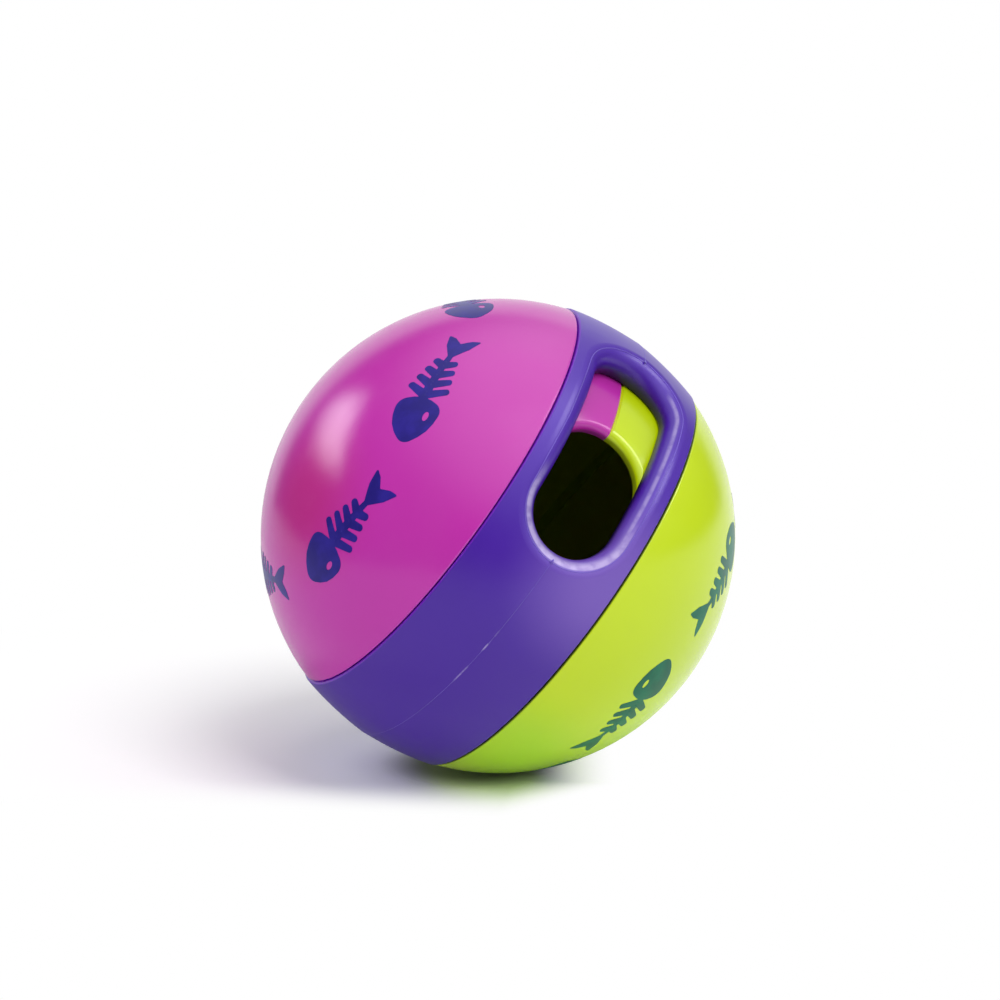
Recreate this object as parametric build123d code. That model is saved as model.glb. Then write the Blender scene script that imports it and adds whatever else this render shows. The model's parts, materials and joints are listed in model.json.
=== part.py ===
from build123d import *
import os
from math import asin, degrees, sqrt

# Treat dispensing ball for a cat, in millimetres.
# Two moulded half shells snap together on the ball's axis. Between their shoulders they form a
# groove, and a loose band turns in it. The band has a long window with a rolled lip, the necks of
# the two halves share a treat hole under it, and turning the band makes the way out longer,
# shorter or shut.
# The pieces are drawn about the ball's own axis: Z runs from the lower half to the upper half,
# and X points out through the middle of the treat hole. They are then laid over as the ball
# lies on a floor. The origin is the centre of the ball in both frames.

# Ball
BALL_DIAMETER = 75.0
SHELL_WALL = 2.0
AXIS_TILT_DEG = 53.0        # between the ball's axis and straight up, as the ball lies
HOLE_TURN_DEG = -74.6       # the treat hole about the ball's axis, from the uphill side
BAND_TURN_DEG = 27.0        # the band's window ahead of the treat hole: some two thirds open

# Band
BAND_WIDTH = 23.0
BAND_EDGE_WALL = 2.2        # thickness at the band's two edges
BAND_EDGE_PROUD = 0.2       # how far the edges stand out of the ball
BAND_CROWN_PROUD = 0.12     # how far the ridge round the middle would stand out if it were sharp
BAND_SIDE_BULGE = 0.32      # how far each side bows out of a straight cone
BAND_CROWN_BLEND = 10.0     # radius that softens the ridge
BAND_EDGE_ROUND = 0.3
BAND_BORE_ROUND = 0.3
BAND_SIDE_GAP = 0.2         # to the shoulder on each side
BAND_RUNNING_GAP = 0.15     # to the lands that carry it
BAND_DRIFT = 0.08           # how far the loose band lies towards the upper half

# Window in the band: a rolled lip outside, and a flange inside that reaches down to the necks
WINDOW_STRIP = 4.6          # width of band left on each side of the window
WINDOW_LENGTH = 40.4        # end to end, along the ball's surface
WINDOW_LIP_ROUND = 2.5
FLANGE_WALL = 1.8
FLANGE_SIDE_GAP = 0.5       # to the land on each side
FLANGE_ROUND = 0.4          # inner edge of the flange

# Treat hole in the necks, a little larger than the window
HOLE_RIM_ROUND = 1.2
HOLE_RIM_MARGIN = 0.2       # flat neck between the rounded rim and the land

# Half shells
SHOULDER_ROUND = 0.3        # outer edge of the shell beside the band
LAND_HEIGHT = 1.05          # raised land beside each shoulder, where the band bears, above the neck
LAND_ROUND = 0.4
SEAM_LIFT = 0.5             # the halves meet this far above the middle of the ball
SEAM_BEVEL = 0.3            # outer edge of each neck where the halves meet

# Snap hooks on the lower half, and their pockets and guide ribs in the upper half
HOOK_STATIONS = 5           # equal stations round the neck; the treat hole takes the first
HOOK_WIDTH = 9.0
HOOK_THICKNESS = 1.6
HOOK_REACH = 7.6            # past the seam
HOOK_ROOT = 7.0             # foot of the hook below the seam
HOOK_FREE = 2.0             # length below the seam that stands free of the neck, to bend
HOOK_BARB = 0.5             # how far the barb catches in its pocket
HOOK_BARB_HEIGHT = 2.6
HOOK_BARB_LAND = 0.6        # straight length of the barb before its lead-in slope
HOOK_GAP = 0.2              # clearance to all that the hook slides past
RIB_WIDTH = 1.4
RIB_HEIGHT = 1.5
RIB_LENGTH = 9.0
RIB_START = 0.5             # above the seam

OVERRUN = 5.0               # how far a cutter runs past what it cuts

# Places that follow from the sizes above
ball_radius = BALL_DIAMETER / 2
inner_radius = ball_radius - SHELL_WALL
band_half = BAND_WIDTH / 2
groove_half = band_half + BAND_SIDE_GAP
shoulder_radius = sqrt(ball_radius**2 - groove_half**2)
band_edge_radius = sqrt(ball_radius**2 - band_half**2) + BAND_EDGE_PROUD
band_crown_radius = ball_radius + BAND_CROWN_PROUD
band_bore_radius = band_edge_radius - BAND_EDGE_WALL
land_radius = band_bore_radius - BAND_RUNNING_GAP
neck_radius = land_radius - LAND_HEIGHT
neck_bore_radius = neck_radius - SHELL_WALL
flange_radius = neck_radius + BAND_RUNNING_GAP
window_half = band_half - WINDOW_STRIP
window_end_deg = degrees(WINDOW_LENGTH / BALL_DIAMETER - asin(window_half / ball_radius))
flange_half = window_half + FLANGE_WALL
land_foot = flange_half + FLANGE_SIDE_GAP
hole_half = land_foot - HOLE_RIM_MARGIN - HOLE_RIM_ROUND
hook_catch = HOOK_REACH - HOOK_BARB_HEIGHT
hook_turns_deg = [360 * k / HOOK_STATIONS for k in range(1, HOOK_STATIONS)]
seam_lift = Pos(0, 0, SEAM_LIFT)
seam_plane = Plane.XY.offset(SEAM_LIFT)


def corner(face, radius, height):
    """The corner of a half section nearest to a radius and height."""
    return face.vertices().sort_by_distance((radius, height, 0))[0]


def ring(face, arc_deg=360, turn_deg=0):
    """A half section, radius along X and height along Y, spun about the axis.

    A part turn is centred on turn_deg."""
    start = Rot(0, 0, turn_deg - arc_deg / 2)
    return start * revolve(Plane.XZ * face, Axis.Z, revolution_arc=arc_deg)


def block_face(inside, outside, bottom, top):
    """A rectangle in a half section."""
    return Pos((inside + outside) / 2, (bottom + top) / 2) * Rectangle(outside - inside, top - bottom)


def arc_at(width, radius):
    """The angle in degrees that a width spans at a radius."""
    return degrees(width / radius)


def half_section():
    """One half shell cut through its axis: neck, land, shoulder and dome, one wall thick."""
    # Inside, a 45 degree slope keeps one wall clear of the corner between land and shoulder.
    slope_shift = land_radius - groove_half - SHELL_WALL * sqrt(2)
    slope_top_radius = (slope_shift + sqrt(2 * inner_radius**2 - slope_shift**2)) / 2
    slope_top = slope_top_radius - slope_shift
    outside = Polyline(
        (neck_bore_radius, 0),
        (neck_radius, 0),
        (neck_radius, land_foot),
        (land_radius, land_foot),
        (land_radius, groove_half),
        (shoulder_radius, groove_half),
    )
    shoulder_deg = degrees(asin(groove_half / ball_radius))
    slope_deg = degrees(asin(slope_top / inner_radius))
    dome = CenterArc((0, 0), ball_radius, shoulder_deg, 90 - shoulder_deg)
    crown = Line((0, ball_radius), (0, inner_radius))
    dome_inside = CenterArc((0, 0), inner_radius, slope_deg, 90 - slope_deg)
    inside = Polyline(
        (slope_top_radius, slope_top),
        (neck_bore_radius, neck_bore_radius - slope_shift),
        (neck_bore_radius, 0),
    )
    face = make_face([outside, dome, crown, dome_inside, inside])
    face = fillet(corner(face, shoulder_radius, groove_half), SHOULDER_ROUND)
    return fillet(corner(face, land_radius, land_foot), LAND_ROUND)


def long_plug(half_width, inside, outside):
    """A long block with round ends between two radii, which bends round the axis as the window does."""
    plug = ring(block_face(inside, outside, -half_width, half_width), 2 * window_end_deg)
    end = Pos(inside, 0, 0) * Rot(0, 90, 0) * Cylinder(
        half_width, outside - inside, align=(Align.CENTER, Align.CENTER, Align.MIN)
    )
    for turn_deg in (-window_end_deg, window_end_deg):
        plug += Rot(0, 0, turn_deg) * end
    return plug


def mouth_edges(blank, cut, inside, outside):
    """The edges that a cut has made between two radii."""
    return [
        edge
        for edge in new_edges(blank, combined=cut)
        if inside < Vector(edge.center().X, edge.center().Y, 0).length < outside
    ]


def closed_shell():
    """Both halves as one hollow body, with the treat hole and the bevelled seam line."""
    upper = ring(half_section())
    blank = upper + mirror(upper, Plane.XY)
    shell = blank - long_plug(hole_half, neck_bore_radius - OVERRUN, neck_radius + OVERRUN)
    shell = fillet(mouth_edges(blank, shell, neck_radius - SHELL_WALL / 2, land_radius), HOLE_RIM_ROUND)
    seam = make_face(
        Polyline(
            (neck_radius - SEAM_BEVEL, 0),
            (neck_radius + SEAM_BEVEL, 2 * SEAM_BEVEL),
            (neck_radius + SEAM_BEVEL, -2 * SEAM_BEVEL),
            close=True,
        )
    )
    return shell - seam_lift * ring(seam)


def hook(turn_deg):
    """A snap hook: rooted in the lower neck, free near the seam, with its barb facing out."""
    face_radius = neck_bore_radius - HOOK_GAP
    back_radius = face_radius - HOOK_THICKNESS
    barb_radius = neck_bore_radius + HOOK_BARB
    root_radius = neck_bore_radius + SHELL_WALL / 2
    section = make_face(
        Polyline(
            (back_radius, -HOOK_ROOT),
            (root_radius, -HOOK_ROOT),
            (root_radius, -HOOK_FREE),
            (face_radius, -HOOK_FREE),
            (face_radius, hook_catch),
            (barb_radius, hook_catch),
            (barb_radius, hook_catch + HOOK_BARB_LAND),
            (face_radius, HOOK_REACH),
            (back_radius, HOOK_REACH),
            close=True,
        )
    )
    return ring(section, arc_at(HOOK_WIDTH, neck_bore_radius), turn_deg)


def hook_pocket(turn_deg):
    """The recess in the upper neck that a hook's barb springs into."""
    section = block_face(
        neck_bore_radius - OVERRUN,
        neck_bore_radius + HOOK_BARB + HOOK_GAP,
        hook_catch - HOOK_GAP,
        HOOK_REACH + HOOK_GAP,
    )
    return ring(section, arc_at(HOOK_WIDTH + 2 * HOOK_GAP, neck_bore_radius), turn_deg)


def guide_ribs(turn_deg):
    """Two ribs inside the upper neck that take a hook between them, so the halves can't twist."""
    section = block_face(
        neck_bore_radius - RIB_HEIGHT, neck_bore_radius + SHELL_WALL / 2, RIB_START, RIB_LENGTH
    )
    offset_deg = arc_at(HOOK_WIDTH / 2 + HOOK_GAP + RIB_WIDTH / 2, neck_bore_radius)
    rib_deg = arc_at(RIB_WIDTH, neck_bore_radius)
    return [ring(section, rib_deg, turn_deg + side * offset_deg) for side in (-1, 1)]


def lower_half(shell):
    """The lower half shell with its snap hooks."""
    half = split(shell, seam_plane, keep=Keep.BOTTOM)
    return half + [seam_lift * hook(turn_deg) for turn_deg in hook_turns_deg]


def upper_half(shell):
    """The upper half shell with guide ribs and pockets for the hooks."""
    half = split(shell, seam_plane, keep=Keep.TOP)
    for turn_deg in hook_turns_deg:
        half += [seam_lift * rib for rib in guide_ribs(turn_deg)]
    return half - [seam_lift * hook_pocket(turn_deg) for turn_deg in hook_turns_deg]


def band():
    """The turning band: a straight bore, two bowed sides that meet in a faint ridge, and the window."""
    lower_edge = (band_edge_radius, -band_half)
    crown = (band_crown_radius, 0)
    upper_edge = (band_edge_radius, band_half)
    bore = Polyline(
        upper_edge, (band_bore_radius, band_half), (band_bore_radius, -band_half), lower_edge
    )
    sides = [
        SagittaArc(lower_edge, crown, -BAND_SIDE_BULGE),
        SagittaArc(crown, upper_edge, -BAND_SIDE_BULGE),
    ]
    face = make_face([bore, *sides])
    face = fillet(corner(face, *crown), BAND_CROWN_BLEND)
    for height in (-band_half, band_half):
        face = fillet(corner(face, band_edge_radius, height), BAND_EDGE_ROUND)
        face = fillet(corner(face, band_bore_radius, height), BAND_BORE_ROUND)
    middle = band_bore_radius + BAND_EDGE_WALL / 2
    flange = long_plug(flange_half, neck_bore_radius, middle) - Cylinder(flange_radius, BAND_WIDTH)
    blank = ring(face) + flange
    cut = blank - long_plug(window_half, neck_bore_radius, band_crown_radius + OVERRUN)
    lip = mouth_edges(blank, cut, middle, band_crown_radius + OVERRUN)
    lipped = fillet(lip, WINDOW_LIP_ROUND)
    back = mouth_edges(blank, lipped, neck_radius, band_bore_radius)
    return fillet(back, FLANGE_ROUND)


def main():
    """Build the three pieces, lay the ball over and write them."""
    shell = closed_shell()
    lie = Rot(0, -AXIS_TILT_DEG, 0) * Rot(0, 0, HOLE_TURN_DEG)
    pieces = {
        "lower_half_shell": lie * lower_half(shell),
        "upper_half_shell": lie * upper_half(shell),
        "adjuster_band": lie * Pos(0, 0, BAND_DRIFT) * Rot(0, 0, BAND_TURN_DEG) * band(),
    }
    os.makedirs("parts", exist_ok=True)
    for name, piece in pieces.items():
        solid = piece.solid()
        solid.label = name
        export_step(solid, f"parts/{name}.step")
        print(name, round(solid.volume, 1), solid.is_valid, len(piece.solids()))


if __name__ == "__main__":
    main()
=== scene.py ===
"""Looks of a treat dispensing ball: two glossy half shells, a satin band and printed fish bones."""

import json
import logging
import math
from contextlib import contextmanager
from dataclasses import dataclass
from enum import Enum
from functools import reduce
from typing import Any, Callable, Iterator, Sequence

import bmesh
import bpy
from mathutils import Matrix, Vector


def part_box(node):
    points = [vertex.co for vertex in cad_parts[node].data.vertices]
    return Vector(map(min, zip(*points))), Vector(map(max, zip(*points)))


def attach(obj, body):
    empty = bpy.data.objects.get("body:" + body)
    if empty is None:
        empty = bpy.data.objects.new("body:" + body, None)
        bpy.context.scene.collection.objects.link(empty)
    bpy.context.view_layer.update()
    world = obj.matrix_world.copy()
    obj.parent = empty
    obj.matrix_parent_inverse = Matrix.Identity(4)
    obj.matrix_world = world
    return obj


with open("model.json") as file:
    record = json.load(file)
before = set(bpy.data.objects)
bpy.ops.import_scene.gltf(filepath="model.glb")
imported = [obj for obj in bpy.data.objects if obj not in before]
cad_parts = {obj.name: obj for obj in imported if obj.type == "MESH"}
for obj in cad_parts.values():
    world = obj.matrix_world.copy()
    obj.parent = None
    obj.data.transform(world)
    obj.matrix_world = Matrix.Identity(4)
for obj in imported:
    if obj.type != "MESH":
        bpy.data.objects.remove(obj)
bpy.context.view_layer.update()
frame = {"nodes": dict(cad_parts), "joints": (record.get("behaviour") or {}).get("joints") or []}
log = logging.getLogger("treat_ball")

MM = 0.001
EDGE_FADE = 0.1 * MM
SMOOTH_DEG = 50.0
PRINT_SMOOTH_DEG = 40.0
Piece = bpy.types.Object
Material = bpy.types.Material
Node = bpy.types.Node
Socket = bpy.types.NodeSocket
Colour = tuple[float, float, float]
Way = tuple[float, float, float]
Ease = tuple[float, ...]
WHITE: Colour = (1.0, 1.0, 1.0)
BLACK: Colour = (0.0, 0.0, 0.0)


class Value:
    """A number inside a material that grows Math nodes as it is used in sums."""

    def __init__(self, graph: "Graph", socket: Socket) -> None:
        """Wrap an output socket of a node tree."""
        self.graph = graph
        self.socket = socket

    def math(self, operation: str, *others: "Value | float") -> "Value":
        """Run one Math node on this number.

        Args:
            operation: Blender's name for the sum.
            others: the numbers that follow this one.

        Returns:
            The result as another number.
        """
        node = self.graph.node("ShaderNodeMath", {"operation": operation})
        for place, entry in enumerate((self, *others)):
            self.graph.feed(node.inputs[place], entry)
        return Value(self.graph, node.outputs[0])

    def __add__(self, other: "Value | float") -> "Value":
        """Sum."""
        return self.math("ADD", other)

    __radd__ = __add__

    def __sub__(self, other: "Value | float") -> "Value":
        """Difference."""
        return self.math("SUBTRACT", other)

    def __rsub__(self, other: float) -> "Value":
        """Difference from a plain number."""
        return (self * -1.0) + other

    def __mul__(self, other: "Value | float") -> "Value":
        """Product."""
        return self.math("MULTIPLY", other)

    __rmul__ = __mul__

    def __abs__(self) -> "Value":
        """Size without its sign."""
        return self.math("ABSOLUTE")

    def most(self, *others: "Value | float") -> "Value":
        """The greatest of this number and others."""
        return reduce(lambda most, other: most.math("MAXIMUM", other), others, self)

    def ramp(self, low: float, high: float, start: float = 0.0, end: float = 1.0) -> "Value":
        """Ease from one level to another, and hold beyond.

        Args:
            low: where the ease begins.
            high: where it ends; it may be below low.
            start: the level before it.
            end: the level after it.

        Returns:
            The eased number.
        """
        node = self.graph.node(
            "ShaderNodeMapRange",
            {"interpolation_type": "SMOOTHSTEP"},
            {"Value": self, "From Min": low, "From Max": high, "To Min": start, "To Max": end},
        )
        return Value(self.graph, node.outputs["Result"])


class Graph:
    """A node tree with one way to add a node and a few that read the surface."""

    def __init__(self, tree: bpy.types.NodeTree) -> None:
        """Take over a tree and empty it."""
        self.tree = tree
        tree.nodes.clear()

    def feed(self, socket: Socket, entry: Any) -> None:
        """Set a socket or link it.

        Args:
            socket: the input.
            entry: a number, a colour, a Value or an output socket.
        """
        if isinstance(entry, Value):
            entry = entry.socket
        if isinstance(entry, Socket):
            self.tree.links.new(entry, socket)
        elif socket.type == "RGBA" and len(entry) == 3:
            socket.default_value = (*entry, 1.0)
        else:
            socket.default_value = entry

    def node(self, kind: str, settings: dict | None = None, inputs: dict | None = None) -> Node:
        """Add one node.

        Args:
            kind: the node's type.
            settings: attributes, set first.
            inputs: values or links by socket name or place.

        Returns:
            The node.
        """
        node = self.tree.nodes.new(kind)
        for name, setting in (settings or {}).items():
            setattr(node, name, setting)
        for name, entry in (inputs or {}).items():
            self.feed(node.inputs[name], entry)
        return node

    def rays(self) -> tuple[Value, Value]:
        """Whether the camera looks here itself, and whether something looks here through a gloss."""
        path = self.node("ShaderNodeLightPath")
        return Value(self, path.outputs["Is Camera Ray"]), Value(self, path.outputs["Is Glossy Ray"])

    def place(self) -> Socket:
        """The point on the surface, in metres."""
        return self.node("ShaderNodeTexCoord").outputs["Object"]

    def vector(self, operation: str, *inputs: Any) -> Node:
        """Run one Vector Math node."""
        return self.node("ShaderNodeVectorMath", {"operation": operation}, dict(enumerate(inputs)))

    def along(self, direction: Sequence[float], point: Socket) -> Value:
        """How far a point lies along a unit vector."""
        return Value(self, self.vector("DOT_PRODUCT", point, direction).outputs["Value"])

    def away(self, direction: Sequence[float], point: Socket) -> Value:
        """How far a point lies from the line along a unit vector through the origin."""
        return self.length(self.vector("CROSS_PRODUCT", point, direction).outputs["Vector"])

    def length(self, arrow: Socket) -> Value:
        """The length of a vector."""
        return Value(self, self.vector("LENGTH", arrow).outputs["Value"])

    def reach(self, spot: Sequence[float]) -> Value:
        """How far the surface is from a spot, in metres."""
        return self.length(self.vector("SUBTRACT", self.place(), spot).outputs["Vector"])

    def noise(self, scale: float, detail: float) -> Value:
        """Cloudy noise from 0 to 1, by its repeats in a metre and its finer layers."""
        inputs = {"Vector": self.place(), "Scale": scale, "Detail": detail}
        return Value(self, self.node("ShaderNodeTexNoise", None, inputs).outputs["Fac"])

    def blend(self, share: Value, first: Any, second: Any) -> Socket:
        """Mix two colours.

        Args:
            share: how much of the second.
            first: a colour or its socket.
            second: another.

        Returns:
            The mixed colour's socket.
        """
        node = self.node("ShaderNodeMix", {"data_type": "RGBA"})
        colours = [socket for socket in node.inputs if socket.type == "RGBA"]
        self.feed(node.inputs["Factor"], share)
        self.feed(colours[0], first)
        self.feed(colours[1], second)
        return next(socket for socket in node.outputs if socket.type == "RGBA")

    def clouded(self, cloud: Value, colour: Colour, share: float) -> Socket:
        """A colour that wanders with a noise, by a share either way."""
        return self.blend(cloud, shade(colour, 1 - share), shade(colour, 1 + share))

    def plastic(self, colour: Any, roughness: Value, height: Value, depth: float, gloss: float = 0.5) -> None:
        """Show plastic or ink on the surface.

        Args:
            colour: the socket of its colour.
            roughness: how dull it is.
            height: how its skin rises, from 0 to 1.
            depth: the rise in metres.
            gloss: how much it mirrors; plastic has 0.5.
        """
        bump = self.node("ShaderNodeBump", None, {"Height": height, "Distance": depth, "Strength": 1.0})
        skin = {"Base Color": colour, "Roughness": roughness, "Specular IOR Level": gloss}
        skin["Normal"] = bump.outputs["Normal"]
        self.surface(self.node("ShaderNodeBsdfPrincipled", None, skin))

    def surface(self, shader: Node) -> None:
        """Show a shader on the surface."""
        out = self.node("ShaderNodeOutputMaterial")
        self.feed(out.inputs["Surface"], shader.outputs[0])


def new_material(name: str) -> tuple[Material, Graph]:
    """Start a material.

    Args:
        name: what it is called.

    Returns:
        The material and its empty graph.
    """
    material = bpy.data.materials.new(name)
    material.use_nodes = True
    return material, Graph(material.node_tree)


def shade(colour: Colour, factor: float) -> Colour:
    """A darker or lighter colour, by a factor on each channel."""
    return tuple(channel * factor for channel in colour)


def take(piece: Piece) -> None:
    """Select one piece and nothing else.

    Args:
        piece: the piece to work on.
    """
    bpy.ops.object.select_all(action="DESELECT")
    piece.select_set(True)
    bpy.context.view_layer.objects.active = piece


@contextmanager
def editing(piece: Piece, pick: Callable[[Vector], bool]) -> Iterator[None]:
    """Edit mode on one piece, with the points selected that a test picks by their place.

    Args:
        piece: the piece to work on.
        pick: says whether a point is selected.

    Yields:
        Nothing; operators in the block act on the selection.
    """
    take(piece)
    bpy.ops.object.mode_set(mode="EDIT")
    bpy.ops.mesh.select_mode(type="VERT")
    bpy.ops.mesh.select_all(action="DESELECT")
    shape = bmesh.from_edit_mesh(piece.data)
    for point in shape.verts:
        point.select_set(pick(point.co))
    shape.select_flush(True)
    bmesh.update_edit_mesh(piece.data)
    yield
    bpy.ops.object.mode_set(mode="OBJECT")


def finish_with(piece: Piece, kind: str, **settings: Any) -> None:
    """Add a modifier and apply it.

    Args:
        piece: the piece to work on.
        kind: the modifier's type.
        settings: its attributes.
    """
    take(piece)
    modifier = piece.modifiers.new(kind.lower(), kind)
    for name, setting in settings.items():
        setattr(modifier, name, setting)
    bpy.ops.object.modifier_apply(modifier=modifier.name)


def cast(piece: Piece, form: str, size: float, share: float = 1.0) -> None:
    """Pull a piece towards a CYLINDER or a SPHERE about the origin, all the way or by a share."""
    finish_with(piece, "CAST", cast_type=form, factor=share, size=size, use_radius_as_size=False)


def smooth(piece: Piece, angle_deg: float) -> None:
    """Shade a piece smooth, apart from edges sharper than an angle."""
    take(piece)
    bpy.ops.object.shade_smooth_by_angle(angle=math.radians(angle_deg))


def settle(piece: Piece, place: Matrix) -> None:
    """Move, turn or stretch a piece and keep that in its mesh.

    Args:
        piece: the piece to work on.
        place: where it goes.
    """
    take(piece)
    piece.matrix_world = place @ piece.matrix_world
    bpy.ops.object.transform_apply(location=True, rotation=True, scale=True)


def stretch(*factors: float) -> Matrix:
    """Factors along X, Y and Z as a matrix."""
    return Matrix.Diagonal((*factors, 1.0))


def turned(degrees: float, axis: str) -> Matrix:
    """A turn about an axis as a matrix."""
    return Matrix.Rotation(math.radians(degrees), 4, axis)


def moved(*place: float) -> Matrix:
    """A move as a matrix."""
    return Matrix.Translation(place)


def join(pieces: list[Piece]) -> Piece:
    """Join pieces into the first.

    Args:
        pieces: the pieces.

    Returns:
        The joined piece.
    """
    take(pieces[0])
    for piece in pieces:
        piece.select_set(True)
    bpy.ops.object.join()
    return pieces[0]


def thread(piece: Piece, radius: float) -> None:
    """Turn a line of edges into a round thread of plastic.

    Args:
        piece: the line.
        radius: half of the thread's thickness.
    """
    take(piece)
    bpy.ops.object.convert(target="CURVE")
    piece.data.bevel_depth = radius
    piece.data.bevel_resolution = 2
    piece.data.use_fill_caps = True
    bpy.ops.object.convert(target="MESH")
    smooth(piece, SMOOTH_DEG)


def coat(piece: Piece, material: Material) -> None:
    """Give a piece its one material.

    Args:
        piece: a new piece or a CAD node.
        material: the finish.
    """
    if not piece.material_slots:
        piece.data.materials.append(material)
    piece.material_slots[0].link = "OBJECT"
    piece.material_slots[0].material = material


@dataclass(frozen=True)
class Patch:
    """A place where a colour fades into another.

    Attributes:
        middle: the middle of the place.
        full: how far from it the other colour holds.
        reach: how far from it the other colour is gone.
        colour: the other colour.
    """

    middle: Vector
    full: float
    reach: float
    colour: Colour

    def over(self, graph: Graph, skin: Socket) -> Socket:
        """Lay the patch over a colour and give the result."""
        return graph.blend(graph.reach(self.middle).ramp(self.reach, self.full), skin, self.colour)


@dataclass(frozen=True)
class Strip:
    """Where something fades in, holds and fades out again.

    Attributes:
        start: where it begins to fade in.
        full: where it begins to hold.
        fades: where it begins to fade out.
        end: where it is gone.
    """

    start: float
    full: float
    fades: float
    end: float

    def share(self, distance: Value) -> Value:
        """How much of it there is at a distance, from 0 to 1."""
        return distance.ramp(self.start, self.full) * distance.ramp(self.end, self.fades)


@dataclass(frozen=True)
class ShellFinish:
    """Glossy moulded plastic with a faint orange-peel skin, and shade painted inside the ball.

    Attributes:
        name, colour, axis: the material's name, its colour in linear light and the ball's axis.
        roughness, handled_dulling, inside_dulling: how dull it is, and how much more if handled or inside.
        inside_shade_share: how much of the colour is left inside the ball, which is painted shade.
        neck_inside, dome_inside: what is nearer to the axis, or on the dome to the centre, is inside.
        neck_length: how far the neck reaches from the middle of the ball.
        soft: over what distance the outside fades into the inside.
        cloud_share, peel_depth: how far the colour wanders, and how deep the skin's ripple is.
        painted_edge, shoulder, painted_edge_width: the colour of the light or shade painted along the edge
        beside the band (lighter on the pink, darker on the lime), its start and its width, if there is one.
        shade_patch: where painted shade fades the colour into another, if there is any.
    """

    name: str
    colour: Colour
    axis: Vector
    roughness: float = 0.2
    handled_dulling: float = 0.05
    inside_dulling: float = 0.35
    inside_shade_share: float = 0.6
    neck_inside: float = 31.4 * MM
    dome_inside: float = 36.0 * MM
    neck_length: float = 10.0 * MM
    soft: float = 0.3 * MM
    cloud_share: float = 0.03
    peel_depth: float = 0.004 * MM
    painted_edge: Colour | None = None
    shoulder: float = 11.7 * MM
    painted_edge_width: float = 0.35 * MM
    shade_patch: Patch | None = None

    def material(self) -> Material:
        """Make the material."""
        material, graph = new_material(self.name)
        handled = graph.noise(scale=260, detail=5).ramp(0.45, 0.75)
        skin = graph.clouded(graph.noise(scale=70, detail=3), self.colour, self.cloud_share)
        place = graph.place()
        height = abs(graph.along(self.axis, place))
        # Inside the ball the colour takes painted shade, and it is duller there.
        bore = graph.away(self.axis, place).ramp(self.neck_inside + self.soft, self.neck_inside)
        dome = height.ramp(self.neck_length, self.neck_length + self.soft)
        deep = graph.length(place).ramp(self.dome_inside + self.soft, self.dome_inside)
        inside = deep * bore.most(dome)
        # A patch of painted shade.
        if self.shade_patch:
            skin = self.shade_patch.over(graph, skin)
        # Light or shade painted along the edge beside the band: a highlight on the pink, shade on the lime.
        if self.painted_edge:
            middle = self.shoulder + self.painted_edge_width / 2
            end = self.shoulder + self.painted_edge_width
            edge = Strip(self.shoulder - EDGE_FADE, self.shoulder, middle, end)
            skin = graph.blend(edge.share(height), skin, self.painted_edge)
        graph.plastic(
            colour=graph.blend(inside, skin, shade(self.colour, self.inside_shade_share)),
            roughness=handled * self.handled_dulling + inside * self.inside_dulling + self.roughness,
            height=graph.noise(scale=520, detail=2),
            depth=self.peel_depth,
        )
        return material


@dataclass(frozen=True)
class InkFinish:
    """Printing ink, a little uneven, through which the plastic tints it.

    Attributes:
        name, colour, thin: the material's name, and its colours where it is thick and where it is thin.
        roughness, streak_dulling: how dull it is, and how much duller where it is thin.
        gloss, grain_depth: how much it mirrors, where plastic has 0.5, and how deep its grain is.
    """

    name: str
    colour: Colour
    thin: Colour
    roughness: float = 0.28
    streak_dulling: float = 0.1
    gloss: float = 0.25
    grain_depth: float = 0.003 * MM

    def material(self) -> Material:
        """Make the material."""
        material, graph = new_material(self.name)
        streaks = graph.noise(scale=330, detail=4)
        graph.plastic(
            colour=graph.blend(streaks.ramp(0.35, 0.75), self.colour, self.thin),
            roughness=streaks * self.streak_dulling + self.roughness,
            height=graph.noise(scale=1500, detail=2),
            depth=self.grain_depth,
            gloss=self.gloss,
        )
        return material


@dataclass(frozen=True)
class Ball:
    """How the ball lies: angles round its axis count from the uphill side.

    Attributes:
        radius: the radius of the half shells.
        axis: from the lower to the upper half.
        crown_radius: the radius at the ridge round the band.
    """

    radius: float
    axis: Vector
    crown_radius: float

    @classmethod
    def from_frame(cls) -> "Ball":
        """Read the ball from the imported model."""
        joint = next(entry for entry in frame["joints"] if entry["name"] == "band_turn")
        return cls(
            radius=-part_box("lower_half_shell")[0].z,
            axis=Vector(joint["axis"]).normalized(),
            crown_radius=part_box("adjuster_band")[1].y,
        )

    @property
    def uphill(self) -> Vector:
        """The direction square to the axis that rises most."""
        return (Vector((0, 0, 1)) - self.axis * self.axis.z).normalized()

    def spot(self, turn_deg: float, rise: float = 0.0, out_share: float = 1.0) -> Vector:
        """A point at a turn, a rise along the axis and a share of the ridge's radius from it."""
        return self.lie(turn_deg) @ Vector((self.crown_radius * out_share, 0, rise))

    def lie(self, turn_deg: float) -> Matrix:
        """The move that lays over what is drawn about Z, its front going from X to a turn."""
        over = Matrix((self.uphill, self.axis.cross(self.uphill), self.axis)).transposed()
        return over.to_4x4() @ turned(turn_deg, "Z")


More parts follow.
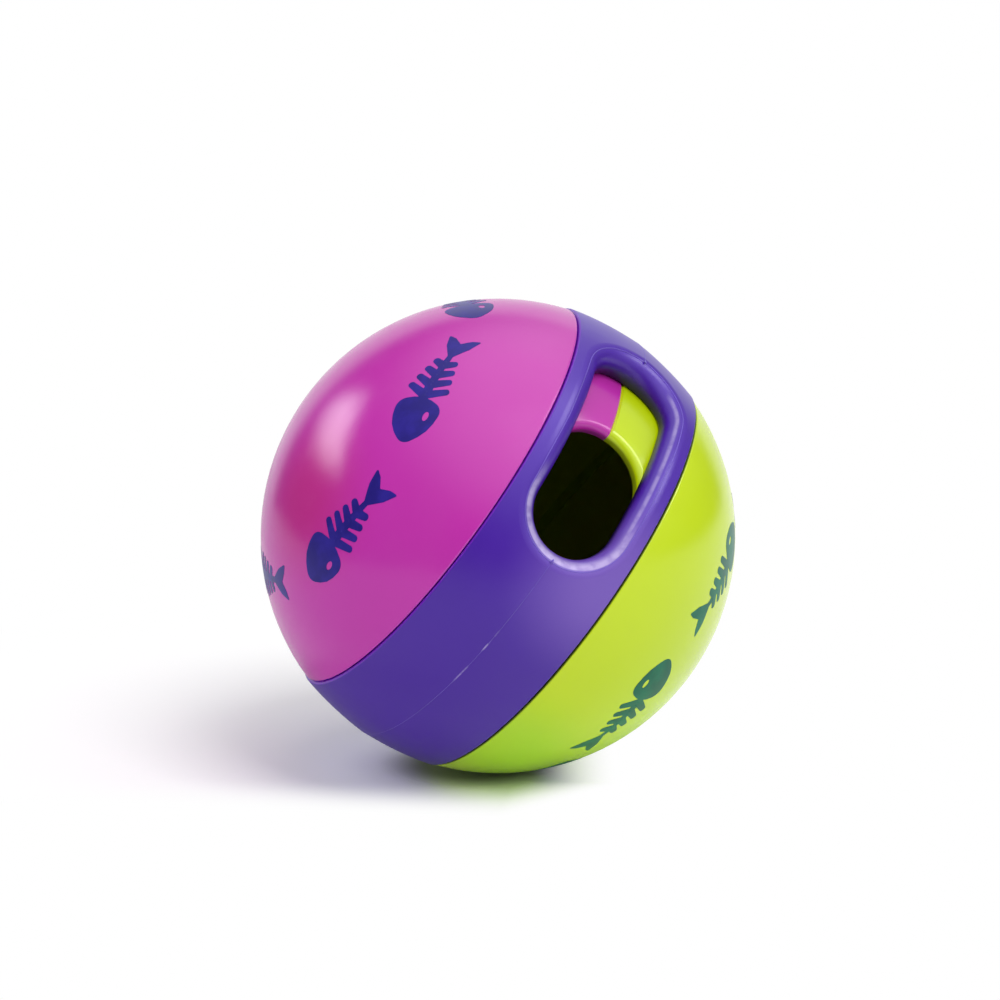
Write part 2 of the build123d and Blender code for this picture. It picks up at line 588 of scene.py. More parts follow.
@dataclass(frozen=True)
class Window:
    """The long window in the band.

    Attributes:
        ball: how the ball lies.
        turn_deg: the middle of the window, round the axis.
        length: from end to end, along the ball.
        half: half of its width.
        lip_width: from its wall to where the rolled lip begins.
    """

    ball: Ball
    turn_deg: float = -47.6
    length: float = 40.4 * MM
    half: float = 6.9 * MM
    lip_width: float = 2.05 * MM

    @property
    def lip_half(self) -> float:
        """Half of the width between the two sides of the lip's line."""
        return self.half + self.lip_width

    @property
    def end_turn_deg(self) -> float:
        """From the middle of the window to the centre of its round end."""
        return math.degrees(self.length / 2 / self.ball.radius - math.asin(self.half / self.ball.radius))

    @property
    def lip_turn_deg(self) -> float:
        """From the middle of the window to the end of the lip's line."""
        return self.end_turn_deg + math.degrees(math.asin(self.lip_half / self.ball.crown_radius))

    def rise(self, graph: Graph) -> Value:
        """How far the surface is towards the upper end, from the middle of the window."""
        over = self.ball.lie(self.turn_deg).to_3x3()
        place = graph.place()
        ahead = graph.along(over @ Vector((1, 0, 0)), place)
        return graph.along(over @ Vector((0, 1, 0)), place).math("ARCTAN2", ahead) * self.ball.radius

    def off(self, graph: Graph) -> Value:
        """How far the surface is from the line down the middle of the window."""
        straight = math.radians(self.end_turn_deg) * self.ball.radius
        past = (abs(self.rise(graph)) - straight).most(0.0)
        aside = graph.along(self.ball.axis, graph.place())
        return (past * past + aside * aside).math("SQRT")


@dataclass(frozen=True)
class BandFinish:
    """Satin moulded plastic, scuffed pale along its parting line, with light and shade painted about its
    window and on its edge.

    Attributes:
        name, colour, axis: the material's name, its colour in linear light and the ball's axis.
        scuff_and_highlight: the pale colour of its scuffs, and of the highlight painted on the window's lip.
        edge, edge_highlight_start: the colour of the highlight painted on the edge beside the upper half, and
            where it begins along the axis.
        rubbed_at, scuff_half, scuff_reach: where the ridge is rubbed, half of how wide, and how far round.
        window, paler_patch: the window, whose lip is painted pale too, and a patch where the band is paler,
            below the window.
        roughness, cloud_dulling, cloud_share: how dull it is, and how far that and the colour wander.
        broad_rub_and_highlight: the strip round the window's lower end, from the lip's line, that is painted
            pale, partly as rubbing and partly as a painted highlight.
            low_end_fade, low_lip_share: where that end is, along the window, and how much of the pale colour
                it takes.
        fine_lip_highlight: the strip along the side towards the lower half, from the lip's line, where a fine
            highlight is painted.
            side_fade, side_lip_share: where that side is, along the axis, and how much of that highlight it
                takes.
        wall_foot, wall_top: the foot and the top of the window's wall, from the axis, down which shade is
            painted.
        inside_shade_share: how much of the colour is left at that foot, which is painted shade.
        grain_depth: how deep the mould's grain is.
    """

    name: str
    colour: Colour
    scuff_and_highlight: Colour
    edge: Colour
    axis: Vector
    rubbed_at: Vector
    window: Window
    paler_patch: Patch
    roughness: float = 0.3
    cloud_share: float = 0.07
    cloud_dulling: float = 0.08
    scuff_half: float = 0.16 * MM
    scuff_reach: float = 7.5 * MM
    broad_rub_and_highlight: Strip = Strip(0.05 * MM, -0.25 * MM, -0.6 * MM, -1.5 * MM)
    fine_lip_highlight: Strip = Strip(-0.45 * MM, -0.75 * MM, -0.9 * MM, -1.3 * MM)
    low_end_fade: Ease = (-8 * MM, -16 * MM)
    low_lip_share: float = 0.55
    side_fade: Ease = (-5 * MM, -7 * MM)
    side_lip_share: float = 0.3
    inside_shade_share: float = 0.12
    wall_foot: float = 33.1 * MM
    wall_top: float = 35.2 * MM
    edge_highlight_start: float = 11.36 * MM
    grain_depth: float = 0.006 * MM

    def lip_rub_and_highlight(self, graph: Graph) -> Value:
        """How pale the window's lip is painted: rubbed and with a painted highlight round its lower end, a
        fine painted highlight along one side.
        """
        past = self.window.off(graph) - self.window.lip_half
        low = self.window.rise(graph).ramp(*self.low_end_fade, end=self.low_lip_share)
        side = graph.along(self.axis, graph.place()).ramp(*self.side_fade, end=self.side_lip_share)
        patchy = graph.noise(scale=700, detail=3).ramp(0.3, 0.6, start=0.55)
        return (self.broad_rub_and_highlight.share(past) * low).most(self.fine_lip_highlight.share(past) * side) * patchy

    def material(self) -> Material:
        """Make the material."""
        material, graph = new_material(self.name)
        cloud = graph.noise(scale=55, detail=4)
        place = graph.place()
        height = graph.along(self.axis, place)
        # The band is paler below the window.
        skin = self.paler_patch.over(graph, graph.clouded(cloud, self.colour, self.cloud_share))
        # A highlight is painted along the edge beside the upper half.
        edge = height.ramp(self.edge_highlight_start, self.edge_highlight_start + EDGE_FADE)
        # Shade is painted down the window's wall, darkest at its foot.
        depth = graph.away(self.axis, place).ramp(self.wall_top, self.wall_foot) * (1 - edge)
        base = graph.blend(depth, skin, shade(self.colour, self.inside_shade_share))
        base = graph.blend(edge, base, self.edge)
        near = graph.reach(self.rubbed_at).ramp(self.scuff_reach, self.scuff_reach / 2)
        worn = near * graph.noise(scale=500, detail=4).ramp(0.4, 0.6)
        ridge = abs(height).ramp(self.scuff_half, 0.0) * worn
        # Pale scuffs on the ridge, and the window's lip painted pale: rubbed and a painted highlight.
        graph.plastic(
            colour=graph.blend(ridge.most(self.lip_rub_and_highlight(graph)), base, self.scuff_and_highlight),
            roughness=cloud * self.cloud_dulling + self.roughness,
            height=graph.noise(scale=2600, detail=3),
            depth=self.grain_depth,
        )
        return material


class Half(Enum):
    """The two halves, by the side of the band that they are on."""

    UPPER = 1
    LOWER = -1


@dataclass
class FishBone:
    """A printed fish bone on the top of the ball, nose towards -X and the band towards -Y.

    It is drawn flat, made into a stamp, and the stamp is cut out of a thin skin of the ball.
    """

    ball: Ball
    nose: float = -10.2 * MM
    head_back: float = -2.3 * MM
    head_half: float = 3.85 * MM
    head_corner_share: float = 0.42
    head_fullness_share: float = 0.52
    eye_x: float = -5.4 * MM
    eye_y: float = -1.9 * MM
    eye_length: float = 1.6 * MM
    eye_width: float = 0.95 * MM
    spine_start: float = -3.0 * MM
    spine_end: float = 7.0 * MM
    spine_width: float = 1.8 * MM
    spine_taper_share: float = 0.5
    rib_count: int = 4
    rib_first: float = -1.9 * MM
    rib_step: float = 2.05 * MM
    rib_first_reach: float = 3.9 * MM
    rib_last_reach: float = 2.3 * MM
    rib_root_width: float = 1.6 * MM
    rib_tip_share: float = 0.66
    rib_round_share: float = 0.45
    rib_lean_deg: float = 24.0
    tail_root: float = 6.3 * MM
    tail_root_share: float = 0.14
    tail_middle_share: float = 0.7
    tail_tip_round: float = 0.45 * MM
    tail_notch: float = 1.5 * MM
    tail_lobe_share: float = 0.28
    tail_tip: float = 11.0 * MM
    tail_half: float = 2.9 * MM
    skin_length: float = 24.0 * MM
    skin_width: float = 10.0 * MM
    skin_cell: float = 0.5 * MM
    stamp_height: float = 8.0 * MM
    ink_proud: float = 0.03 * MM
    ink_thickness: float = 0.08 * MM

    def head(self) -> Piece:
        """A triangle with full sides and round corners, its tip forward."""
        bpy.ops.mesh.primitive_circle_add(vertices=3, radius=self.head_half, fill_type="NGON")
        piece = bpy.context.object
        settle(piece, turned(90, "Z"))
        with editing(piece, lambda at: True):
            bpy.ops.mesh.bevel(offset=self.head_half * self.head_corner_share, segments=8, affect="VERTICES")
            bpy.ops.mesh.select_all(action="SELECT")
            bpy.ops.mesh.delete(type="ONLY_FACE")
            bpy.ops.mesh.select_all(action="SELECT")
            bpy.ops.mesh.subdivide(number_cuts=3)
            bpy.ops.mesh.select_all(action="SELECT")
            bpy.ops.mesh.edge_face_add()
        cast(piece, "CYLINDER", self.head_half, self.head_fullness_share)
        self.fit(piece, self.nose, self.head_back, self.head_half)
        return piece

    def fit(self, piece: Piece, front: float, back: float, half: float) -> None:
        """Stretch and move a flat piece to a length and a width.

        Args:
            piece: the piece.
            front: its lowest X.
            back: its highest X.
            half: half of its width, either side of Y 0.
        """
        across = [point.co.x for point in piece.data.vertices]
        aside = max(abs(point.co.y) for point in piece.data.vertices)
        factor = (back - front) / (max(across) - min(across))
        settle(piece, moved(front - min(across) * factor, 0, 0) @ stretch(factor, half / aside, 1))

    def spine(self) -> Piece:
        """A bar that narrows towards the tail."""
        bpy.ops.mesh.primitive_plane_add(size=1)
        piece = bpy.context.object
        self.fit(piece, self.spine_start, self.spine_end, self.spine_width / 2)
        with editing(piece, lambda at: at.x > 0):
            bpy.ops.transform.resize(value=(1, self.spine_taper_share, 1), center_override=(0, 0, 0))
        return piece

    def rib(self, number: int, side: int) -> Piece:
        """One rib with a round tip, leaning towards the tail.

        Args:
            number: counted from the head.
            side: -1 towards the band, 1 away from it.

        Returns:
            The rib.
        """
        share = number / (self.rib_count - 1)
        reach = self.rib_first_reach + (self.rib_last_reach - self.rib_first_reach) * share
        bpy.ops.mesh.primitive_plane_add(size=1)
        piece = bpy.context.object
        settle(piece, stretch(self.rib_root_width, reach, 1) @ moved(0, 0.5, 0))
        with editing(piece, lambda at: at.y > reach / 2):
            bpy.ops.transform.resize(value=(self.rib_tip_share, 1, 1), center_override=(0, 0, 0))
            tip_width = self.rib_root_width * self.rib_tip_share
            bpy.ops.mesh.bevel(offset=tip_width * self.rib_round_share, segments=5, affect="VERTICES")
        lean = turned(-self.rib_lean_deg, "Z")
        root = moved(self.rib_first + self.rib_step * number, 0, 0)
        settle(piece, root @ stretch(1, side, 1) @ lean)
        return piece

    def tail(self) -> Piece:
        """A forked fin."""
        bpy.ops.mesh.primitive_grid_add(x_subdivisions=2, y_subdivisions=4, size=1)
        piece = bpy.context.object
        self.fit(piece, self.tail_root, self.tail_tip, self.tail_half)
        quarter = (self.tail_tip - self.tail_root) / 4
        middle = self.tail_root + 2 * quarter
        for row, share in ((self.tail_root, self.tail_root_share), (middle, self.tail_middle_share)):
            with editing(piece, lambda at: abs(at.x - row) < quarter):
                bpy.ops.transform.resize(value=(1, share, 1), center_override=(0, 0, 0))
        edge = self.tail_tip - quarter
        # The edge has points in its middle, at its tips and half way between
        for reach_share, depth_share in ((0.75, self.tail_lobe_share), (0.25, 1 - self.tail_lobe_share)):
            with editing(piece, lambda at: at.x > edge and abs(at.y) < self.tail_half * reach_share):
                bpy.ops.transform.translate(value=(-self.tail_notch * depth_share, 0, 0))
        with editing(piece, lambda at: at.x > edge and abs(at.y) > self.tail_half * 0.75):
            bpy.ops.mesh.bevel(offset=self.tail_tip_round, segments=4, affect="VERTICES")
        return piece

    def eye(self) -> Piece:
        """A long dot."""
        bpy.ops.mesh.primitive_circle_add(vertices=20, radius=0.5, fill_type="NGON")
        piece = bpy.context.object
        settle(piece, moved(self.eye_x, self.eye_y, 0) @ stretch(self.eye_length, self.eye_width, 1))
        return piece

    def raise_stamp(self, piece: Piece) -> None:
        """Make a flat piece a block that goes through the skin."""
        finish_with(piece, "SOLIDIFY", thickness=self.stamp_height, offset=0.0)
        settle(piece, moved(0, 0, self.ball.radius))

    def skin(self) -> Piece:
        """A thin patch of the ball's skin, as thick as the ink."""
        bpy.ops.mesh.primitive_grid_add(
            x_subdivisions=round(self.skin_length / self.skin_cell),
            y_subdivisions=round(self.skin_width / self.skin_cell),
            size=1,
        )
        piece = bpy.context.object
        settle(piece, moved(0, 0, self.ball.radius) @ stretch(self.skin_length, self.skin_width, 1))
        cast(piece, "SPHERE", self.ball.radius + self.ink_proud)
        finish_with(piece, "SOLIDIFY", thickness=self.ink_thickness, offset=-1.0)
        return piece

    def build(self) -> Piece:
        """Cut the print, on the top of the ball, out of the skin."""
        ribs = [self.rib(number, side) for number in range(self.rib_count) for side in (-1, 1)]
        stamp = join([self.head(), self.spine(), *ribs, self.tail()])
        eye = self.eye()
        for block in (stamp, eye):
            self.raise_stamp(block)
        piece = self.skin()
        finish_with(piece, "BOOLEAN", operation="DIFFERENCE", object=eye, solver="EXACT")
        finish_with(piece, "BOOLEAN", operation="INTERSECT", object=stamp, solver="EXACT", use_self=True)
        for block in (stamp, eye):
            bpy.data.objects.remove(block)
        smooth(piece, PRINT_SMOOTH_DEG)
        return piece


@dataclass(frozen=True)
class Slip:
    """How far the printing pad set one fish down off its place.

    Attributes:
        along: towards the tail.
        away: away from the band.
        tilt_deg: the tail's turn away from the band.
    """

    along: float = 0.0
    away: float = 0.0
    tilt_deg: float = 0.0

    def matrix(self, radius: float) -> Matrix:
        """The move on the top of a ball with a radius."""
        away = turned(-math.degrees(self.away / radius), "X")
        return turned(math.degrees(self.along / radius), "Y") @ away @ turned(self.tilt_deg, "Z")


@dataclass
class HalfShell:
    """One half of the ball, with a row of fish bones printed round it.

    Attributes:
        ball, half: how the ball lies, and which half this is.
        node, body: its CAD node and the body that it is.
        finish, ink: its plastic and its print.
        first_turn_deg: the middle of the first fish, round the axis.
        rise_deg: how far the row is from the middle of the band, seen from the ball's centre.
        in_a_row, slips: how many fish go round, and which are off their place, by their number.
        pole_reach, no_area: points this near to the axis are at a pole; faces below this area are empty.
    """

    ball: Ball
    half: Half
    node: str
    body: str
    finish: ShellFinish
    ink: InkFinish
    first_turn_deg: float
    rise_deg: float
    slips: dict[int, Slip]
    in_a_row: int = 6
    pole_reach: float = 0.01 * MM
    no_area: float = 1e-12

    def dress(self) -> None:
        """Give the moulding its finish."""
        shell = frame["nodes"][self.node]
        self.straighten_poles(shell.data)
        coat(shell, self.finish.material())
        log.info("%s: %s", self.node, self.finish.name)

    def straighten_poles(self, mesh: bpy.types.Mesh) -> None:
        """Turn the normals at the poles of the dome along the axis.

        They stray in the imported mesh, because a face with no area joins the others there.

        Args:
            mesh: the mesh of the half.
        """
        axis = self.ball.axis
        at_pole = {point.index for point in mesh.vertices if point.co.cross(axis).length < self.pole_reach}
        normals = [corner.vector.copy() for corner in mesh.corner_normals]
        for face in mesh.polygons:
            for corner in face.loop_indices:
                loop = mesh.loops[corner]
                if loop.vertex_index in at_pole:
                    normals[corner] = axis if normals[corner].dot(axis) > 0 else -axis
                if face.area < self.no_area and at_pole.intersection(face.vertices):
                    mesh.edges[loop.edge_index].use_edge_sharp = True
        mesh.normals_split_custom_set(normals)

    def print_place(self, number: int) -> Matrix:
        """From the top of the ball to a place in the row.

        Args:
            number: which fish, from 1.

        Returns:
            The move.
        """
        around = self.ball.lie(self.first_turn_deg + 360 / self.in_a_row * (number - 1))
        side = self.half.value
        tip_over = turned(90 - self.rise_deg, "Y") @ turned(90, "Z")
        slip = self.slips.get(number, Slip()).matrix(self.ball.radius)
        return around @ turned(90 - 90 * side, "X") @ tip_over @ slip

    def print_row(self, master: Piece) -> None:
        """Print the row.

        Args:
            master: the fish on the top of the ball.
        """
        ink = self.ink.material()
        for number in range(1, self.in_a_row + 1):
            piece = master.copy()
            piece.data = master.data.copy()
            piece.name = f"{self.half.name.lower()}_fish_print_{number}"
            bpy.context.scene.collection.objects.link(piece)
            settle(piece, self.print_place(number))
            coat(piece, ink)
            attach(piece, self.body)
            log.info("%s: %d faces", piece.name, len(piece.data.polygons))


@dataclass
class TurningBand:
    """The band between the halves, with the fine marks that its mould leaves.

    Attributes:
        ball, window, node: how the ball lies, the band's window and its CAD node.
        finish, marks: its plastic, and that of the mould's marks, a little paler.
        lip_line_radius, parting_line_radius: half of the thickness of the lines round the lip and the ridge.
        burr_length, burr_width, burr_height: the size of a burr where the two lines meet.
        burr_end_shares: what is left of its height and its width at its far end.
        slack_share: the slack in picking points of the lip's line, as a share of its half width.
    """

    ball: Ball
    finish: BandFinish
    marks: ShellFinish
    window: Window
    node: str = "adjuster_band"
    lip_line_radius: float = 0.07 * MM
    parting_line_radius: float = 0.04 * MM
    burr_length: float = 1.0 * MM
    burr_width: float = 0.4 * MM
    burr_height: float = 0.1 * MM
    burr_end_shares: tuple[float, float] = (0.6, 0.45)
    slack_share: float = 0.01

    def dress(self) -> None:
        """Give the moulding its finish and its marks."""
        coat(frame["nodes"][self.node], self.finish.material())
        log.info("%s: %s", self.node, self.finish.name)
        paler = self.marks.material()
        for name, piece in {
            "window_lip_line": self.lip_line(),
            "band_parting_line": self.parting_line(),
            "lower_window_burr": self.burr(-1),
            "upper_window_burr": self.burr(1),
        }.items():
            piece.name = name
            coat(piece, paler)
            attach(piece, "band")
            log.info("%s: %d faces", name, len(piece.data.polygons))

    def lie_on_band(self, piece: Piece) -> None:
        """Lay a line that is drawn about Z over with the band and pull it onto the band's face."""
        settle(piece, self.ball.lie(self.window.turn_deg))
        finish_with(piece, "SHRINKWRAP", target=frame["nodes"][self.node], wrap_method="NEAREST_SURFACEPOINT")

    def lip_line(self) -> Piece:
        """The fine line round the window, where the rolled lip begins."""
        half = self.window.lip_half
        bpy.ops.mesh.primitive_circle_add(vertices=64, radius=half)
        piece = bpy.context.object
        settle(piece, moved(math.sqrt(self.ball.crown_radius**2 - half**2), 0, 0) @ turned(90, "Y"))
        turn = math.radians(self.window.end_turn_deg)
        for side in (-1, 1):
            with editing(piece, lambda at: at.y * side > half * self.slack_share):
                bpy.ops.transform.rotate(value=-side * turn, orient_axis="Z", center_override=(0, 0, 0))
        with editing(piece, lambda at: abs(at.z) > half * (1 - self.slack_share)):
            bpy.ops.mesh.subdivide(number_cuts=12)
        cast(piece, "SPHERE", self.ball.crown_radius)
        self.lie_on_band(piece)
        thread(piece, self.lip_line_radius)
        return piece

    def parting_line(self) -> Piece:
        """The line round the ridge, where the two sides of the mould met."""
        bpy.ops.mesh.primitive_circle_add(vertices=360, radius=self.ball.crown_radius)
        piece = bpy.context.object
        inside = math.cos(math.radians(self.window.lip_turn_deg)) * self.ball.crown_radius
        with editing(piece, lambda at: at.x > inside):
            bpy.ops.mesh.delete(type="VERT")
        self.lie_on_band(piece)
        thread(piece, self.parting_line_radius)
        return piece

    def burr(self, end: int) -> Piece:
        """A flat drop of plastic where the parting line meets the lip.

        Args:
            end: -1 for the lower end of the window, 1 for the upper.

        Returns:
            The burr.
        """
        bpy.ops.mesh.primitive_uv_sphere_add(segments=20, ring_count=12, radius=0.5)
        piece = bpy.context.object
        settle(piece, stretch(2 * self.burr_height, self.burr_length, self.burr_width))
        height_share, width_share = self.burr_end_shares
        with editing(piece, lambda at: at.y * end > 0):
            bpy.ops.transform.resize(value=(height_share, 1, width_share), center_override=(0, 0, 0))
        turn = turned(end * self.window.lip_turn_deg, "Z")
        settle(piece, self.ball.lie(self.window.turn_deg) @ turn @ moved(self.ball.crown_radius, 0, 0))
        smooth(piece, SMOOTH_DEG)
        return piece


@dataclass
class Floor:
    """A pale floor with its real shadow near the ball, shadow and light painted round the ball's foot, and
    plain white further off.

    Places on it count from below the ball's centre, to the right and to the front in the picture. An ease is
    two distances, and the levels at them where those aren't 0 and 1.

    Attributes:
        ball, side: what lies on it, and how long its sides are.
        right, back: to the right in the picture, and from the ball to the camera.
        painted_shadow_at: where the shadow painted round the ball's foot is darkest, to the right.
            painted_shadow, painted_plume: the level painted by the distance from there, shadow near it and
                light beyond, and a factor that paints shade further off.
        mirrored_side: the level painted for the gloss, darker to the left and lighter to the right.
        mirrored_round: the least level painted for the gloss, darker near the ball, by the distance.
        lit: how light it is when it throws light back.
        lime_bounce_at, lime_bounce_reach, lime: the middle, reach and colour of a pool of lime light painted
            on it, which only light thrown back sees.
        headroom: the highest level that its colour can have.
        white_at, white_round: the middle of what isn't plain white, and how far that goes.
        white_edges: where it ends, by shares of the place to the right and of the place to the front.
    """

    ball: Ball
    right: Vector
    back: Vector
    side: float = 0.8
    painted_shadow_at: float = -4 * MM
    painted_shadow: Ease = (7 * MM, 16.5 * MM, 0.3, 1.25)
    painted_plume: Ease = (18 * MM, 30 * MM, 1.0, 0.8)
    mirrored_side: Ease = (-50 * MM, 30 * MM, 0.45, 1.1)
    mirrored_round: Ease = (35 * MM, 60 * MM, 0.0, 0.78)
    lit: float = 0.9
    lime_bounce_at: float = 12 * MM
    lime_bounce_reach: Ease = (40 * MM, 12 * MM)
    lime: Colour = (0.9, 1.2, 1.0)
    headroom: float = 2.0
    white_at: float = -20 * MM
    white_round: Ease = (60 * MM, 110 * MM)
    white_edges: tuple[tuple[float, float, Ease], ...] = (
        (1.0, 0.0, (5 * MM, 19 * MM)),
        (-0.12, 1.0, (12 * MM, 30 * MM)),
        (1.0, 1.0, (14 * MM, 30 * MM)),
    )

    def build(self) -> None:
        """Lay the floor under the ball."""
        bpy.ops.mesh.primitive_plane_add(size=self.side, location=(0, 0, -self.ball.radius))
        floor = bpy.context.object
        floor.name = "floor"
        floor.data.materials.append(self.material())

    def material(self) -> Material:
        """Make the material: one level for the camera, one for the gloss and one for the light."""
        material, graph = new_material("floor")
        seen, gloss = graph.rays()
        aside = graph.along(self.right, graph.place())
        nearer = graph.along(self.back, graph.place())
        # For the camera, shadow is painted round the ball's foot, light beyond it and some shade further off.
        off_painted_shadow = graph.reach(self.right * self.painted_shadow_at)
        painted_shadow = off_painted_shadow.ramp(*self.painted_shadow) * off_painted_shadow.ramp(*self.painted_plume)
        # For the gloss, the floor is painted darker to the left and near the ball.
        mirrored = aside.ramp(*self.mirrored_side).most(graph.reach((0, 0, 0)).ramp(*self.mirrored_round))
        level = seen * painted_shadow + (1 - seen) * (gloss * mirrored + (1 - gloss) * self.lit)
        # A pool of lime light is painted near the ball, seen only by light that the floor throws back.
        lime = (1 - seen) * (1 - gloss) * graph.reach(self.right * self.lime_bounce_at).ramp(*self.lime_bounce_reach)
        tint = graph.blend(lime, shade(WHITE, self.headroom), shade(self.lime, self.headroom))
        # A mix holds its factor at 1, so the level is a share of the headroom
        colour = graph.blend(level * (1 / self.headroom), BLACK, tint)
        paint = graph.node("ShaderNodeBsdfDiffuse", None, {"Color": colour})
        white = graph.node("ShaderNodeEmission", None, {"Color": WHITE, "Strength": 1.0})
        edges = [(aside * right + nearer * front).ramp(*ease) for right, front, ease in self.white_edges]
        blank = graph.reach(self.right * self.white_at).ramp(*self.white_round).most(*edges)
        mix = {0: seen * blank, 1: paint.outputs[0], 2: white.outputs[0]}
        graph.surface(graph.node("ShaderNodeMixShader", None, mix))
        return material


@dataclass(frozen=True)
class Glow:
    """A part of the room that fades with the angle from a direction.

    Attributes:
        way: the direction as the camera sees it: right, up and near.
        fade: two cosines of the angle, and the levels at them where those aren't 0 and 1.
    """

    way: Way
    fade: Ease


@dataclass
class Studio:
    """The lamp, the world and the camera.

    Attributes:
        ball: what is in the picture.
        azimuth_deg, elevation_deg: how far round and how high the camera stands.
        distance, near_clip: from the camera to the ball's middle, and how near it sees.
        image_px, ball_centre_px, ball_radius_px: the side of the picture, and the ball's outline in it.
        key_way, key_distance: to the lamp above, before the ball and to the right.
        key_side, key_power: how long its sides are, and its power in watts.
        ambient: the light from all round.
        side_light: how much stronger that light is at the right; below 0 it is stronger at the left.
        camera_shade: what is left of it where the camera stands in its way.
        screen, screen_level: the wide screen over the ball in the gloss, and how bright it is.
        gap: where that screen is dimmer.
        core, core_level: the lamp in that screen, and how bright it is.
        softbox, softbox_level: the edges of the lamp that shines in the left side, and how bright it is.
        backdrop_side: where the backdrop begins, by the cosine of the angle from straight ahead.
        backdrop_top: where it ends, by the sine of the angle upwards.
        backdrop_level, room_level: how bright the backdrop and the rest of the room are in the gloss.
    """

    ball: Ball
    azimuth_deg: float = -7.5
    elevation_deg: float = 13.0
    distance: float = 0.75
    near_clip: float = 0.01
    image_px: float = 1000.0
    ball_centre_px: tuple[float, float] = (498.0, 535.8)
    ball_radius_px: float = 237.3
    key_way: Way = (0.28, 0.75, 0.6)
    key_distance: float = 1.1
    key_side: float = 0.5
    key_power: float = 4.8
    ambient: float = 0.77
    side_light: float = -0.12
    camera_shade: Glow = Glow((0, 0, 1), (0.91, 0.98, 1.0, 0.1))
    screen: Glow = Glow((0.43, 0.83, 0.35), (0.2, 1.0))
    screen_level: float = 2.2
    gap: Glow = Glow((0.8, 0.507, -0.319), (0.95, 0.75, 0.4, 1.0))
    core: Glow = Glow((0.72, 0.64, 0.25), (0.95, 0.985))
    core_level: float = 6.0
    softbox: tuple[Glow, ...] = (
        Glow((0.214, 0.504, 0.837), (-0.5, -0.12)),
        Glow((0.214, 0.504, 0.837), (0.03, -0.03)),
        Glow((1, 0, 0), (-0.1, -0.4)),
        Glow((0.767, 0.606, -0.213), (0.04, -0.12)),
        Glow((0.306, 0.939, 0.157), (-0.02, 0.14)),
    )
    softbox_level: float = 6.0
    backdrop_side: Ease = (0.74, 0.88)
    backdrop_top: Ease = (0.62, 0.45)
    backdrop_level: float = 0.85
    room_level: float = 0.1

    @property
    def back(self) -> Vector:
        """From the ball to the camera."""
        azimuth = math.radians(self.azimuth_deg)
        elevation = math.radians(self.elevation_deg)
        level = math.cos(elevation)
        return Vector((math.sin(azimuth) * level, -math.cos(azimuth) * level, math.sin(elevation)))

    @property
    def right(self) -> Vector:
        """To the right in the picture."""
        return Vector((0, 0, 1)).cross(self.back).normalized()

    def seen_from_camera(self, right: float, up: float, near: float) -> Vector:
        """A place or a direction in the scene, given as the camera sees it."""
        return self.right * right + self.back.cross(self.right) * up + self.back * near

    def camera(self) -> None:
        """Set the camera up as the photograph was taken."""
        focal_px = self.ball_radius_px * math.sqrt((self.distance / self.ball.radius) ** 2 - 1)
        metres_per_px = self.distance / focal_px
        middle = self.image_px / 2
        aim = self.seen_from_camera(
            (middle - self.ball_centre_px[0]) * metres_per_px,
            (self.ball_centre_px[1] - middle) * metres_per_px,
            0,
        )
        bpy.ops.object.camera_add(location=self.back * self.distance)
        camera = bpy.context.object
        camera.rotation_euler = (aim - camera.location).to_track_quat("-Z", "Y").to_euler()
        camera.data.lens = camera.data.sensor_width * focal_px / self.image_px
        camera.data.clip_start = self.near_clip
        bpy.context.scene.camera = camera

    def key_lamp(self) -> None:
        """Hang the lamp that lights the ball; its gloss is the screen that the world shows."""
        place = self.seen_from_camera(*self.key_way).normalized() * self.key_distance
        bpy.ops.object.light_add(type="AREA", location=place)
        lamp = bpy.context.object
        lamp.name = "key"
        lamp.data.shape = "SQUARE"
        lamp.data.size = self.key_side
        lamp.data.energy = self.key_power
        lamp.rotation_euler = (-lamp.location).to_track_quat("-Z", "Y").to_euler()
        lamp.visible_glossy = False

    def share(self, graph: Graph, look: Socket, part: Glow) -> Value:
        """How much of a part of the room there is along a look."""
        return graph.along(self.seen_from_camera(*part.way).normalized(), look).ramp(*part.fade)

    def world(self) -> None:
        """Surround the ball: even light, and in the gloss a backdrop, a screen and lamps in a dark room."""
        world = bpy.data.worlds.new("studio")
        bpy.context.scene.world = world
        world.use_nodes = True
        graph = Graph(world.node_tree)
        seen, gloss = graph.rays()
        look = graph.node("ShaderNodeTexCoord").outputs["Generated"]
        ahead = graph.along(Vector((-self.back.x, -self.back.y, 0)).normalized(), look)
        rise = graph.along((0, 0, 1), look)
        backdrop = ahead.ramp(*self.backdrop_side) * rise.ramp(*self.backdrop_top) * self.backdrop_level
        gap = self.share(graph, look, self.gap)
        screen = self.share(graph, look, self.screen) * gap * self.screen_level
        core = self.share(graph, look, self.core) * self.core_level
        edges = [self.share(graph, look, edge) for edge in self.softbox]
        softbox = math.prod(edges, start=self.softbox_level)
        mirrored = backdrop + screen + core + softbox + self.room_level
        even = graph.along(self.right, look) * self.side_light + self.ambient
        lit = even * self.share(graph, look, self.camera_shade)
        level = seen + (1 - seen) * (gloss * mirrored + (1 - gloss) * lit)
        back = graph.node("ShaderNodeBackground", None, {"Color": WHITE, "Strength": level})
        graph.node("ShaderNodeOutputWorld", None, {"Surface": back.outputs[0]})


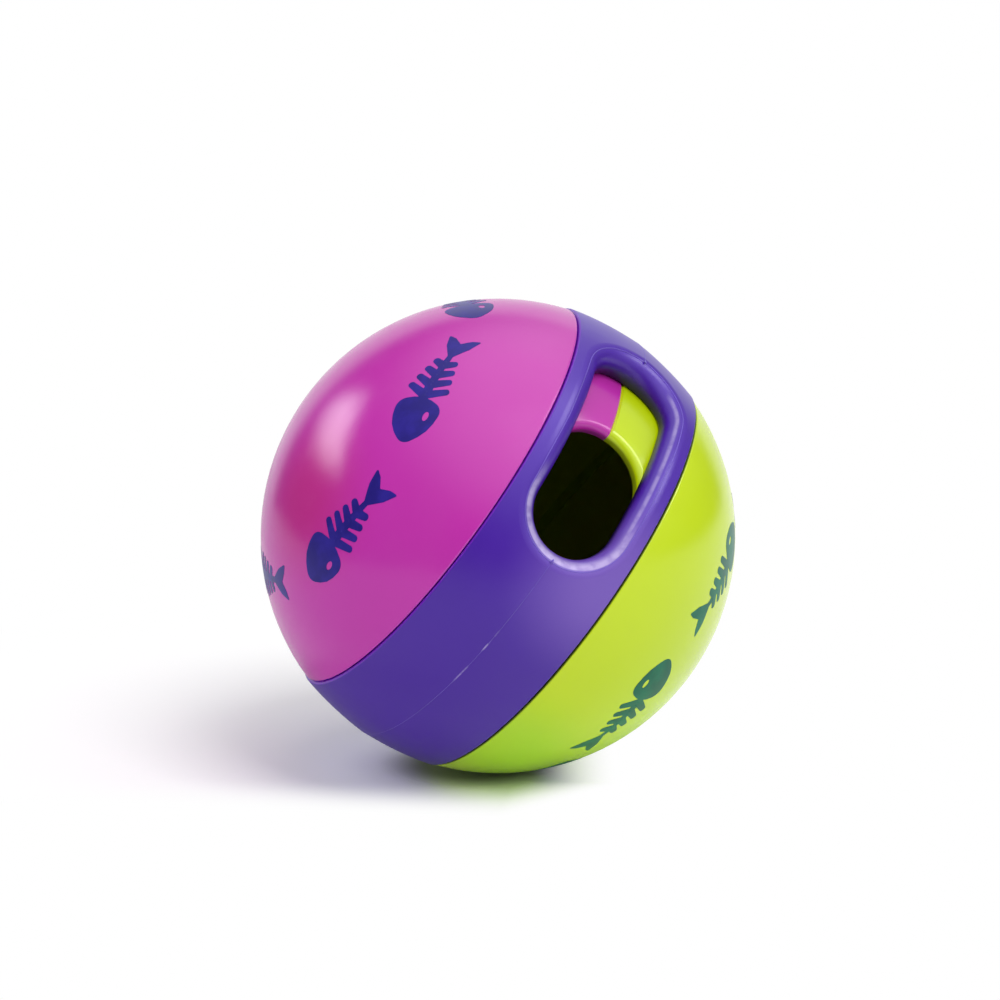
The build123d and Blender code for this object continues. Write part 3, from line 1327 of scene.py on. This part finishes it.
def main() -> None:
    """Build the pieces in order, then the studio, and note the sizes."""
    logging.basicConfig(level=logging.INFO)
    bpy.context.scene.view_settings.view_transform = "Standard"
    ball = Ball.from_frame()
    halves = (
        HalfShell(
            ball=ball,
            half=Half.UPPER,
            node="upper_half_shell",
            body="upper_half",
            finish=ShellFinish(
                name="pink plastic",
                colour=(0.535, 0.025, 0.4),
                axis=ball.axis,
                # A highlight painted along the edge beside the band.
                painted_edge=(0.72, 0.1, 0.6),
                # Painted shade on the pink's left side.
                shade_patch=Patch(ball.spot(-124.0, 32 * MM, 0.52), 2 * MM, 17 * MM, (0.51, 0.018, 0.25)),
            ),
            ink=InkFinish("blue print on pink", (0.013, 0.006, 0.19), (0.022, 0.011, 0.28)),
            first_turn_deg=-53.85,
            rise_deg=46.0,
            slips={
                1: Slip(away=1.0 * MM, tilt_deg=-3.0),
                2: Slip(away=-0.8 * MM),
                6: Slip(away=-1.2 * MM, tilt_deg=4.0),
            },
        ),
        HalfShell(
            ball=ball,
            half=Half.LOWER,
            node="lower_half_shell",
            body="lower_half",
            finish=ShellFinish(
                name="lime plastic",
                colour=(0.585, 0.765, 0.001),
                axis=ball.axis,
                # Shade painted along the edge beside the band.
                painted_edge=(0.15, 0.22, 0.001),
                painted_edge_width=0.22 * MM,
                # Painted shade, greener, towards the bottom near the floor.
                shade_patch=Patch(ball.spot(-134.0, -15 * MM), 5 * MM, 18 * MM, (0.45, 0.74, 0.001)),
            ),
            ink=InkFinish("blue print on lime", (0.004, 0.125, 0.078), (0.008, 0.19, 0.11), gloss=0.13),
            first_turn_deg=-107.5,
            rise_deg=48.5,
            slips={1: Slip(away=-0.6 * MM, tilt_deg=-4.0), 2: Slip(along=-1.25 * MM, away=0.7 * MM)},
        ),
    )
    master = FishBone(ball).build()
    for half in halves:
        half.dress()
        half.print_row(master)
    bpy.data.objects.remove(master)
    window = Window(ball)
    band = TurningBand(
        ball=ball,
        finish=BandFinish(
            name="purple plastic",
            colour=(0.057, 0.006, 0.345),
            # Pale scuffs, which is also the colour of the highlight painted on the window's lip.
            scuff_and_highlight=(0.72, 0.62, 0.9),
            # A highlight painted along the edge beside the upper half.
            edge=(0.13, 0.004, 0.45),
            axis=ball.axis,
            rubbed_at=ball.spot(-110.0),
            window=window,
            # A patch where the band is paler, below the window.
            paler_patch=Patch(ball.spot(-78.0, -10 * MM), 3 * MM, 18.5 * MM, (0.17, 0.085, 0.48)),
        ),
        marks=ShellFinish(
            "paler purple plastic", (0.15, 0.09, 0.5), ball.axis, roughness=0.35, cloud_share=0.5
        ),
        window=window,
    )
    band.dress()
    studio = Studio(ball)
    Floor(ball, studio.right, studio.back).build()
    studio.key_lamp()
    studio.world()
    studio.camera()


if __name__ == "__main__":
    main()
